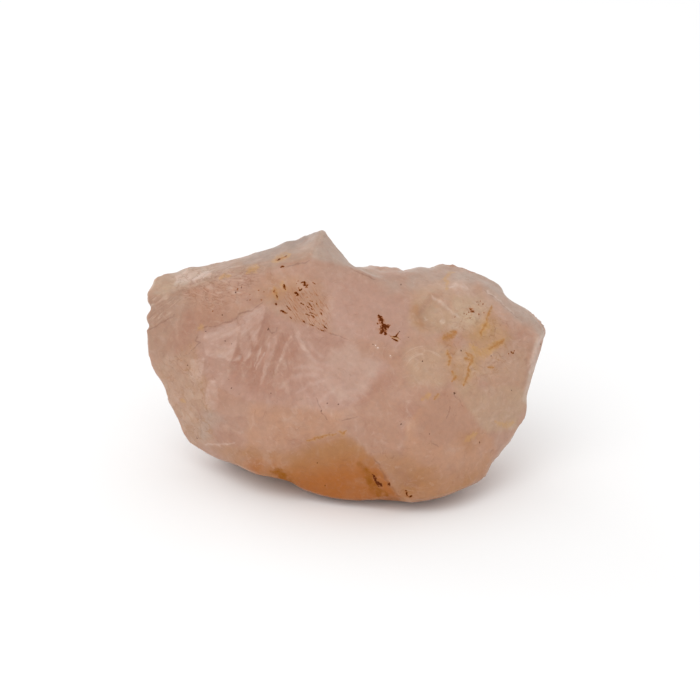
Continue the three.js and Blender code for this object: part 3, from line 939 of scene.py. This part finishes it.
# %% [markdown]
# ## Shapes of the breaks
# Quartz has no cleavage, so it breaks in shallow shells, fans and ripples. The fan and the wrinkled crust are
# used twice, as relief and as colour. All of them are noise or cell textures on the stone's own coordinates
# in millimetres, because the breaks between the drawn faces follow no drawing.

# %% Breaks
FAN_WIDE = (6, 0.12, 0)
FAN_THIN = (17, 0.25, 0)
WRINKLE_SIZE = 0.85
WRINKLE_STRETCH = (0.45, 0.6, 1.6)
MEAN_BOWL = 0.3
RIPPLE_SIZE = 1.9
RIPPLE_START = (3.0, 16.0, 30.0)
RIPPLE_PATCH_SIZE = 7
RIPPLE_PATCHES = (0.4, 0.65)
SHIFT_SIZE = 2.0
SHIFT_REACH = (2.4, 2.4, 2.4)


def fan_ridges(nodes, fan_place):
    """Strokes of 0 to 1 that spread with the fan, thin ones over wider ones."""
    wide = nodes.noise(nodes.stretch(fan_place, FAN_WIDE), size=1, detail=1, distortion=0.4)
    thin = nodes.noise(nodes.stretch(fan_place, FAN_THIN), size=1, roughness=0.6, distortion=0.5)
    return nodes.math("ADD", nodes.times(wide, 0.5), nodes.times(thin, 0.5))


def crust_wrinkles(nodes, place):
    """0 in the creases of the wrinkled crust, rising to about 0.3 between them."""
    stretched = nodes.stretch(place, WRINKLE_STRETCH)
    folds = nodes.swing(stretched, WRINKLE_SIZE, detail=3, roughness=0.55, distortion=0.6)
    return nodes.math("ABSOLUTE", folds)


def wobbled(nodes, place):
    """The place with a small random shift that keeps cell edges from running straight."""
    inputs = {"Vector": place, "Scale": 1 / SHIFT_SIZE, "Detail": 2.0}
    colour = nodes.add("ShaderNodeTexNoise", inputs, "Color")
    shift = nodes.vector("SUBTRACT", colour, (0.5, 0.5, 0.5))
    return nodes.vector("ADD", place, nodes.stretch(shift, SHIFT_REACH))


def shells(nodes, place, size):
    """Height of shell-shaped breaks: a bowl in each cell, with sharp ridges where bowls meet."""
    bowls = nodes.math("POWER", nodes.cells(wobbled(nodes, place), size), 2)
    return nodes.math("SUBTRACT", bowls, MEAN_BOWL)


def ripples(nodes, place):
    """Rings of -1 to 1 around the point where the back was struck, stronger in patches."""
    reach = nodes.vector("LENGTH", nodes.vector("SUBTRACT", wobbled(nodes, place), RIPPLE_START))
    rings = nodes.math("SINE", nodes.times(reach.node.outputs["Value"], math.tau / RIPPLE_SIZE))
    patches = nodes.ramp(nodes.noise(place, RIPPLE_PATCH_SIZE), *RIPPLE_PATCHES)
    return nodes.times(rings, patches)


print("ripples, mm apart:", RIPPLE_SIZE)

# %% [markdown]
# ## Relief of the broken skin
# A Geometry Nodes tree moves each point along its normal by the sum of the breaks: slow lumps, shells, chips
# and ripples on the unseen sides, the fan, the thin planes, the wrinkled crust, nicked edges, the drawn
# dents and a fine grain. It fades out near the rest face, which stays flat. Sculpting by hand could
# do this too, but named inputs in millimetres let a reader try other depths.

# %% Relief tree
RELIEF = {
    "Lump Height": 0.10,
    "Shell Depth": 1.6,
    "Chip Depth": 0.3,
    "Ripple Height": 0.07,
    "Fan Height": 0.05,
    "Plane Height": 0.08,
    "Wrinkle Height": 0.10,
    "Grain Height": 0.025,
    "Nick Depth": 0.18,
    "Dent Share": 1.0,
}
LUMP_SIZE = 3.6
SHELL_SIZE = 6.0
CHIP_SIZE = 2.4
GRAIN_SIZE = 0.8
NICK_SIZE = 2.2
NICK_STEP = (0.45, 0.7)
PLANE_STEP = (-0.25, 0.1)
SWING_GAIN = 2
WRINKLE_GAIN = 4
REST_FADE = (0.15, 1.2)


def relief_tree(material):
    """Moves the skin along its normals by the sum of all breaks."""
    tree = bpy.data.node_groups.new("broken_skin", "GeometryNodeTree")
    tree.interface.new_socket(name="Geometry", in_out="INPUT", socket_type="NodeSocketGeometry")
    tree.interface.new_socket(name="Geometry", in_out="OUTPUT", socket_type="NodeSocketGeometry")
    for name in RELIEF:
        tree.interface.new_socket(name=name, in_out="INPUT", socket_type="NodeSocketFloat")
    nodes = Nodes(tree)
    entry = tree.nodes.new("NodeGroupInput")

    def mask(name, kind="FLOAT"):
        return nodes.add("GeometryNodeInputNamedAttribute", {"Name": name}, data_type=kind)

    def raised(name, shape, share=1.0):
        return nodes.times(shape, entry.outputs[name], share, MM)

    place = mask("skin_place", "FLOAT_VECTOR")
    broken = nodes.math("MAXIMUM", mask("crackled"), mask("away"))
    lumps = nodes.swing(place, LUMP_SIZE)
    fan = nodes.math("SUBTRACT", fan_ridges(nodes, mask("fan_place", "FLOAT_VECTOR")), 0.5)
    grain = nodes.swing(place, GRAIN_SIZE, detail=3, roughness=0.6)
    nicks = nodes.ramp(nodes.noise(place, NICK_SIZE), *NICK_STEP)
    wrinkles = nodes.times(mask("wrinkled"), WRINKLE_GAIN)
    heights = [
        raised("Lump Height", lumps, SWING_GAIN),
        raised("Shell Depth", shells(nodes, place, SHELL_SIZE), mask("away")),
        raised("Chip Depth", shells(nodes, place, CHIP_SIZE), broken),
        raised("Ripple Height", ripples(nodes, place), mask("away")),
        raised("Fan Height", fan, nodes.times(mask("fan"), SWING_GAIN)),
        raised("Plane Height", nodes.ramp(mask("pale_plane"), *PLANE_STEP)),
        raised("Plane Height", nodes.ramp(mask("deep_plane"), *PLANE_STEP), -1.0),
        raised("Wrinkle Height", crust_wrinkles(nodes, place), wrinkles),
        raised("Grain Height", grain, SWING_GAIN),
        raised("Nick Depth", nicks, nodes.times(mask("edge"), -1)),
        raised("Dent Share", mask("dents")),
    ]
    total = heights[0]
    for height in heights[1:]:
        total = nodes.math("ADD", total, height)
    above = nodes.ramp(nodes.add("ShaderNodeSeparateXYZ", {0: place}, "Z"), *REST_FADE)
    offset = nodes.sized(nodes.add("GeometryNodeInputNormal"), nodes.times(total, above))
    moved = nodes.add("GeometryNodeSetPosition", {"Geometry": entry.outputs["Geometry"], "Offset": offset})
    smooth = nodes.add("GeometryNodeSetShadeSmooth", {0: moved})
    realized = nodes.add("GeometryNodeRealizeInstances", {0: smooth})
    coated = nodes.add("GeometryNodeSetMaterial", {"Geometry": realized, "Material": material})
    leave = tree.nodes.new("NodeGroupOutput")
    tree.links.new(coated, leave.inputs["Geometry"])
    return tree


print("kinds of relief:", len(RELIEF))

# %% [markdown]
# ## Glazes of the finish
# Over the painted zones the shader lays thin glazes: a colour, and a share of 0 to 1 that comes from noise or
# from a drawn mark. A mark's edge is broken up by noise, because stain creeps along fine cracks. A texture
# painted from the photograph would show only one side. These glazes read the stone's own coordinates and
# attributes, so they are the same from every side.

# %% Glaze helper
VEIL = (193, 164, 147)
DEEP = (152, 104, 83)
CRACK = (130, 82, 50)
SPARK = (222, 203, 191)
MILKY = (200, 171, 157)
GLOW = (186, 142, 84)
RUST = (132, 68, 20)
RUST_THIN = (168, 105, 54)


class Finish(Nodes):
    """The finish's nodes, with the colour that its glazes have built up so far."""

    def __init__(self, tree):
        super().__init__(tree)
        self.place = self.mask("skin_place", "Vector")
        self.colour = self.mask("tint", "Color")

    def mask(self, name, output="Fac"):
        return self.add("ShaderNodeAttribute", output=output, attribute_name=name)

    def mixed(self, colour, over, share):
        """A screen colour laid over another colour by a share of 0 to 1."""
        inputs = {0: share, 6: colour, 7: (*linear(over), 1)}
        return self.add("ShaderNodeMix", inputs, 2, data_type="RGBA")

    def lay(self, over, *shares, strength):
        """Lays a screen colour over the colour so far by the product of its shares and its strength."""
        self.colour = self.mixed(self.colour, over, self.times(*shares, strength))

    def lay_mark(self, mark, *shares):
        """Lays one drawn mark, its edge broken up by noise, and returns where it lies."""
        attribute, over, strength, start, full, rough_size, rough_depth = MARKS[mark]
        rough = self.swing(self.place, rough_size, detail=3, roughness=0.65)
        where = self.math("ADD", self.mask(attribute), self.times(rough, rough_depth))
        where = self.ramp(where, start, full)
        self.lay(over, where, *shares, strength=strength)
        return where

    def cloud(self, size, start, full, shift=(0, 0, 0), distortion=0.9):
        """A cloudy patch of 0 to 1."""
        moved = self.vector("ADD", self.place, shift)
        clouds = self.noise(moved, size, detail=4, roughness=0.55, distortion=distortion)
        return self.ramp(clouds, start, full)

    def wisps(self, size, width, shift):
        """Thin wavering threads of 0 to 1, where slow noise crosses its middle."""
        moved = self.vector("ADD", self.place, shift)
        folds = self.swing(moved, size, detail=3, distortion=0.8)
        return self.ramp(self.math("ABSOLUTE", folds), width, 0.0)


# A mark's row: attribute, colour, strength, where it starts and is full, size and depth of its raggedness.
MARKS = {
    "deep plane": ("deep_plane", DEEP, 0.34, -0.15, 0.2, 0.9, 0.4),
    "pale plane": ("pale_plane", MILKY, 0.46, -0.15, 0.22, 0.9, 0.5),
    # The sweeps and the pale lines are painted highlights, laid as colour; a few pale lines are pale streaks
    # of the stone.
    "sweep_highlight": ("sweep_highlight", MILKY, 0.22, 0.0, 1.1, 0.8, 1.0),
    "pale line": ("pale", SPARK, 0.3, 0.1, 1.3, 0.7, 1.4),
    "golden smear": ("golden", GLOW, 0.55, 0.2, 1.1, 0.5, 2.0),
    "vein glow": ("vein", GLOW, 0.35, 0.0, 1.0, 1.2, 1.1),
    "vein": ("vein", (160, 104, 42), 0.85, 0.4, 1.15, 0.4, 1.5),
    # The dark line colour is partly crack colour and partly painted shade along steps and edges.
    "crack_and_shade_line": ("crack_and_shade_line", (112, 70, 48), 0.36, 0.4, 1.0, 0.8, 1.5),
    "soaked": ("soaked", (142, 84, 22), 0.95, 0.1, 1.0, 0.8, 1.3),
    "thin rust": ("rust", RUST_THIN, 0.65, 0.25, 0.65, 0.3, 1.7),
    "rust": ("rust", RUST, 0.9, 0.5, 0.8, 0.3, 1.7),
    "dark rust": ("rust", (78, 30, 6), 0.92, 0.6, 0.88, 0.3, 1.7),
    "rust dot": ("rust_dot", RUST, 0.8, 0.25, 0.6, 0.5, 0.9),
    "speck": ("speck", (60, 27, 14), 0.85, 0.1, 0.5, 0.5, 0.5),
    # The glint is a painted highlight, a near-white spot.
    "glint": ("glint", (244, 236, 230), 0.85, 0.3, 0.7, 0.3, 0.5),
}
print("kinds of drawn glaze:", len(MARKS))

# %% [markdown]
# ## Clouds, fan and cracks
# Rose quartz is never one flat pink. Milky veils and deeper pink drift through it, fewer on the calm faces
# and in the stain. The fan is streaked, and its thin planes are paler or deeper. A net of healed cracks with
# tan threads and pale pebbles covers the crackled faces, and creases darken the wrinkled crust.

# %% Clouds, fan and cracks
# A cloud's row: colour, size, where it starts and is full, shift, distortion and strength.
CLOUDS = [
    (VEIL, 5.5, 0.5, 0.78, (0, 0, 0), 0.9, 0.4),
    (DEEP, 4.5, 0.5, 0.78, (31, 7, 13), 0.9, 0.35),
    (VEIL, 1.6, 0.52, 0.75, (5, 17, 3), 1.6, 0.28),
    (DEEP, 1.4, 0.52, 0.75, (15, 2, 23), 1.6, 0.25),
]
CALMING = 0.6
FAN_CREST = (0.5, 0.68)
FAN_TROUGH = (0.5, 0.34)
PLANE_UNEVEN = (0.75, 1.25, 0.3, 1.0)
PLUMY = (203, 176, 156)
FEATHER_STRETCH = (0.4, 3.2, 0)
FEATHERS = (0.5, 0.7)
TAN_THREAD = (158, 112, 68)
UNSEEN_CRACKS = 0.35
CRACK_CELL = 1.7
CRACK_LINE = (0.09, 0.0)
PALE_PEBBLES = (0.6, 1.0)
CREASE = (0.035, 0.0)
FOLD = (0.08, 0.2)


def lay_clouds(finish):
    """Veils and deeper pink, then a few pale and brown threads."""
    calm = finish.math("MAXIMUM", finish.mask("stain"), finish.mask("calm"))
    clear = finish.math("SUBTRACT", 1.0, finish.times(calm, CALMING))
    for over, size, start, full, shift, distortion, strength in CLOUDS:
        finish.lay(over, finish.cloud(size, start, full, shift, distortion), clear, strength=strength)
    pale = finish.wisps(size=3.2, width=0.02, shift=(3, 9, 27))
    patches = finish.cloud(size=3.5, start=0.5, full=0.7, shift=(9, 9, 9))
    finish.lay(SPARK, pale, patches, clear, strength=0.1)
    brown = finish.wisps(size=4.4, width=0.012, shift=(13, 2, 7))
    patches = finish.cloud(size=3, start=0.5, full=0.65, shift=(7, 21, 5))
    finish.lay(CRACK, brown, patches, strength=0.3)


def lay_fan(finish):
    """Streaks, thin planes and sweeps of the fan, and the feathered plumes."""
    fan = fan_ridges(finish, finish.mask("fan_place", "Vector"))
    finish.lay(VEIL, finish.ramp(fan, *FAN_CREST), finish.mask("fan"), strength=0.3)
    finish.lay(DEEP, finish.ramp(fan, *FAN_TROUGH), finish.mask("fan"), strength=0.25)
    fan_and_lumps = finish.math("ADD", fan, finish.noise(finish.place, size=1.3, detail=3))
    uneven = finish.ramp(fan_and_lumps, *PLANE_UNEVEN)
    finish.lay_mark("deep plane", uneven)
    finish.lay_mark("pale plane", uneven)
    finish.lay_mark("sweep_highlight")
    feather_place = finish.stretch(finish.mask("plume_place", "Vector"), FEATHER_STRETCH)
    feather = finish.noise(feather_place, size=1, detail=3, roughness=0.55, distortion=0.8)
    finish.lay(PLUMY, finish.ramp(feather, *FEATHERS), finish.mask("plume"), strength=0.55)


def lay_cracks(finish):
    """The net of healed cracks with its threads and pebbles, and the wrinkled crust."""
    unseen_cracks = finish.times(finish.mask("unseen"), UNSEEN_CRACKS)
    crackled = finish.math("MAXIMUM", finish.mask("crackled"), unseen_cracks)
    shifted = wobbled(finish, finish.place)
    crack = finish.ramp(finish.cells(shifted, CRACK_CELL, "DISTANCE_TO_EDGE"), *CRACK_LINE)
    finish.lay(CRACK, crack, finish.cloud(size=1.5, start=0.45, full=0.65), crackled, strength=0.4)
    thread = finish.wisps(size=1.5, width=0.035, shift=(19, 4, 8))
    threaded = finish.cloud(size=2.2, start=0.42, full=0.6, shift=(4, 8, 12))
    finish.lay(TAN_THREAD, thread, threaded, finish.mask("crackled"), strength=0.6)
    pebble_colour = finish.cells(shifted, CRACK_CELL, output="Color")
    pebble = finish.add("ShaderNodeSeparateXYZ", {0: pebble_colour})
    finish.lay(VEIL, finish.ramp(pebble, *PALE_PEBBLES), crackled, strength=0.2)
    folds = crust_wrinkles(finish, finish.place)
    finish.lay(CRACK, finish.ramp(folds, *CREASE), finish.mask("wrinkled"), strength=0.45)
    finish.lay(VEIL, finish.ramp(folds, *FOLD), finish.mask("wrinkled"), strength=0.42)


print("clouds:", len(CLOUDS))

# %% [markdown]
# ## Stains and marks
# Worn edges turn pale first. Then come the drawn marks: pale lines that are mostly painted highlights,
# smears, veins, and dark lines that are partly healed cracks and partly painted shade, and the rust on top,
# with the painted glints last. The rust patch is a field of fine dashes along one slant, too many to draw, so
# stretched noise makes them and the drawn dashes stand out among them. Rust is dull, so the function returns
# where it lies.

# %% Stains and marks
WORN_EDGE = 0.2
DASH_STRETCH = (0.8, 7, 0)
SCRATCH_STRETCH = (0.25, 9, 0)
SCRATCHES = (0.5, 0.7)
THIN_DASHES = (0.53, 0.61)
DASHES = (0.56, 0.62)
LIGHT_MARKS = ("pale line", "golden smear", "vein glow", "vein", "crack_and_shade_line")
# Soaked spots, rust and specks are stains; the glint laid after them is a painted highlight.
RUST_SPECK_AND_GLINT_MARKS = ("soaked", "thin rust", "rust", "dark rust", "rust dot", "speck", "glint")
DULL_MARKS = ("soaked", "rust dot", "speck")


def lay_rust_dashes(finish):
    """Scratches and short dashes along the slant of the rust patch."""
    patch = finish.mask("rust_patch")
    streak_place = finish.mask("streak_place", "Vector")
    dash = finish.noise(finish.stretch(streak_place, DASH_STRETCH), size=1, roughness=0.55)
    scratch = finish.noise(finish.stretch(streak_place, SCRATCH_STRETCH), size=1, detail=1)
    dashed = finish.times(patch, finish.cloud(size=2.4, start=0.38, full=0.55, shift=(2, 4, 6)))
    finish.lay(RUST_THIN, finish.ramp(scratch, *SCRATCHES), patch, strength=0.3)
    finish.lay(RUST_THIN, finish.ramp(dash, *THIN_DASHES), dashed, strength=0.6)
    finish.lay(RUST, finish.ramp(dash, *DASHES), dashed, strength=0.6)


def lay_marks(finish):
    """All drawn marks. Returns where rust and dust leave the skin dull, 0 to 1."""
    finish.lay(MINERAL["crust"], finish.mask("edge"), strength=WORN_EDGE)
    for mark in LIGHT_MARKS:
        finish.lay_mark(mark)
    lay_rust_dashes(finish)
    laid = {mark: finish.lay_mark(mark) for mark in RUST_SPECK_AND_GLINT_MARKS}
    dull = laid["rust"]
    for mark in DULL_MARKS:
        dull = finish.math("MAXIMUM", dull, laid[mark])
    return dull


print("marks laid:", len(LIGHT_MARKS) + len(RUST_SPECK_AND_GLINT_MARKS))

# %% [markdown]
# ## Cloudy quartz
# Rose quartz is milky inside: light goes in, scatters off fine fibres and comes out soft. Glass with a cloud
# inside would be closer still but needs far more samples, so Subsurface scattering stands for it, with red
# travelling furthest. A fine mottle, uneven gloss and a slight bump keep the skin from looking moulded. Rust
# and dust neither scatter nor shine.

# %% Quartz material
SCATTER_SHARE = 0.45
SCATTER_DEPTH = 0.45 * MM
SCATTER_RADIUS = (1.0, 0.6, 0.45)
QUARTZ_INDEX = 1.544
GLOSS_LEVEL = 0.35
DULL_GLOSS = (92, 52, 28)
DULL_ROUGHNESS = 0.8
MOTTLE_SIZE = 0.9
MOTTLE = (0.3, 0.7, 0.94, 1.06)
SHEEN_SIZE = 2.2
ROUGHNESS = (0.35, 0.65, 0.36, 0.5)
BUMP_SIZE = 0.55
BUMP_STRENGTH = 0.25
BUMP_DEPTH = 0.06 * MM


def quartz_material():
    """The stone's one finish."""
    material = bpy.data.materials.new("rose_quartz")
    material.use_nodes = True
    shader = material.node_tree.nodes["Principled BSDF"]
    finish = Finish(material.node_tree)
    lay_clouds(finish)
    lay_fan(finish)
    lay_cracks(finish)
    dull = lay_marks(finish)
    mottle = finish.ramp(finish.noise(finish.place, MOTTLE_SIZE, detail=6, roughness=0.75), *MOTTLE)
    rough = finish.ramp(finish.noise(finish.place, SHEEN_SIZE, detail=3), *ROUGHNESS)
    fine = finish.noise(finish.place, BUMP_SIZE, detail=3, roughness=0.6)
    bump = {"Height": fine, "Strength": BUMP_STRENGTH, "Distance": BUMP_DEPTH}
    sockets = {
        "Base Color": finish.sized(finish.colour, mottle),
        "Roughness": finish.math("MAXIMUM", rough, finish.times(dull, DULL_ROUGHNESS)),
        "Specular Tint": finish.mixed((1, 1, 1, 1), DULL_GLOSS, dull),
        "Subsurface Weight": finish.ramp(dull, 0, 1, SCATTER_SHARE, 0),
        "Normal": finish.add("ShaderNodeBump", bump),
        "IOR": QUARTZ_INDEX,
        "Specular IOR Level": GLOSS_LEVEL,
        "Subsurface Scale": SCATTER_DEPTH,
        "Subsurface Radius": SCATTER_RADIUS,
    }
    for name, value in sockets.items():
        finish.feed(shader.inputs[name], value)
    return material


quartz = quartz_material()
print("finish nodes:", len(quartz.node_tree.nodes))

# %% [markdown]
# ## Raising the relief
# The tree runs once as a modifier, and its result becomes the stone's plain mesh. Where several breaks meet,
# a point can end up as a thin splinter, which a real stone would have lost. Such points are found by how far
# they stand from the average of their surroundings, and are rubbed down to it.

# %% Raise the relief
SPLINTER_ROUNDS = 12
SPLINTER_RANGE = (0.2 * MM, 0.4 * MM)

relief = relief_tree(quartz)
breaks = stone.modifiers.new("broken_skin", "NODES")
breaks.node_group = relief
for item in relief.interface.items_tree:
    if item.in_out == "INPUT" and item.name in RELIEF:
        breaks[item.identifier] = RELIEF[item.name]
bake_modifiers(stone)

places, _ = skin_points(stone.data)
settled = neighbour_average(stone.data, places, SPLINTER_ROUNDS)
splinter = smooth_step(np.linalg.norm(settled - places, axis=1), *SPLINTER_RANGE)
move_points(stone.data, places + splinter[:, None] * (settled - places))
stone.data.calc_loop_triangles()
print("points rubbed down:", int((splinter > 0.5).sum()))
print("finished stone:", len(stone.data.loop_triangles), "triangles")

# %% [markdown]
# ## Floor and light
# A pale round floor, an even white surround and two weak, large softboxes give the soft, nearly shadowless
# light of a product photograph. The floor is wide enough to fill the frame from every side.

# %% Floor, surround and softboxes
FLOOR_RADIUS = 3.0
FLOOR_SIDES = 96
FLOOR_WHITE = 0.9
SURROUND = 0.95
SOFTBOX_SIZE = 0.5
SOFTBOXES = {
    "front_softbox": (1.0, Vector((-0.15, -0.35, 0.5))),
    "back_softbox": (1.2, Vector((-0.5, 0.55, 0.22))),
}

work = bmesh.new()
bmesh.ops.create_circle(work, cap_ends=True, segments=FLOOR_SIDES, radius=FLOOR_RADIUS)
floor_mesh = bpy.data.meshes.new("floor")
work.to_mesh(floor_mesh)
work.free()
floor = new_piece("floor", floor_mesh)
paper = bpy.data.materials.new("white_paper")
paper.use_nodes = True
paper_inputs = paper.node_tree.nodes["Principled BSDF"].inputs
paper_inputs["Base Color"].default_value = (FLOOR_WHITE, FLOOR_WHITE, FLOOR_WHITE, 1)
paper_inputs["Roughness"].default_value = 1.0
paper_inputs["Specular IOR Level"].default_value = 0.0
floor_mesh.materials.append(paper)

surround = bpy.data.worlds.new("studio")
surround.use_nodes = True
surround.node_tree.nodes["Background"].inputs["Color"].default_value = (1, 1, 1, 1)
surround.node_tree.nodes["Background"].inputs["Strength"].default_value = SURROUND
scene.world = surround

for name, (watts, spot) in SOFTBOXES.items():
    lamp_data = bpy.data.lights.new(name, "AREA")
    lamp_data.shape = "DISK"
    lamp_data.size = SOFTBOX_SIZE
    lamp_data.energy = watts
    lamp = bpy.data.objects.new(name, lamp_data)
    lamp.location = spot
    lamp.rotation_euler = (spot - CAMERA_TARGET).to_track_quat("Z", "Y").to_euler()
    scene.collection.objects.link(lamp)
scene.view_settings.view_transform = "Standard"
print("softboxes:", len(SOFTBOXES))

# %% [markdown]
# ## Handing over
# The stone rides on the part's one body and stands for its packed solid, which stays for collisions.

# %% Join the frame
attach(stone, "root")
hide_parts("quartz_chunk")
